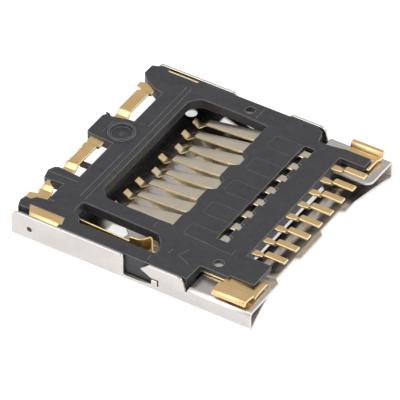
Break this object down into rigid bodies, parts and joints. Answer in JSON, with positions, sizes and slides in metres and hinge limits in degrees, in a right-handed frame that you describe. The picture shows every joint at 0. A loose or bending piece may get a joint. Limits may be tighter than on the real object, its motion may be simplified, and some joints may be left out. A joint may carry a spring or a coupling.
{
  "type": "memory card connector",
  "caption": "Surface-mount push-pull connector for a microSD card: metal shell, dark moulded housing with a contact window, spring contacts and solder tabs.",
  "frame": {"origin": "middle of the outer face of the shell plate, halfway between the shell's side walls and between its rear and front edges", "axes": "+X towards the card mouth, +Y across the contacts towards contact 1, +Z away from the shell plate towards the board that the tails are soldered to"},
  "size_m": [0.0142, 0.0138, 0.0016],
  "materials": {
    "housing": "moulded black plastic, slightly glossy",
    "shell": "bright stainless sheet",
    "contacts": "gold plated copper alloy",
    "solder_tabs": "gold plated copper alloy",
    "lock_spring": "copper alloy spring strip"
  },
  "bodies": {
    "root": {"housing": "housing", "shell": "shell", "contact_1": "contacts", "contact_2": "contacts", "contact_3": "contacts", "contact_4": "contacts", "contact_5": "contacts", "contact_6": "contacts", "contact_7": "contacts", "contact_8": "contacts", "rear_tab_1": "solder_tabs", "rear_tab_2": "solder_tabs", "rear_tab_3": "solder_tabs", "side_nail_left": "solder_tabs", "side_nail_right": "solder_tabs", "front_nail_left": "solder_tabs", "front_nail_right": "solder_tabs", "card_lock_spring": "lock_spring"}
  },
  "joints": []
}
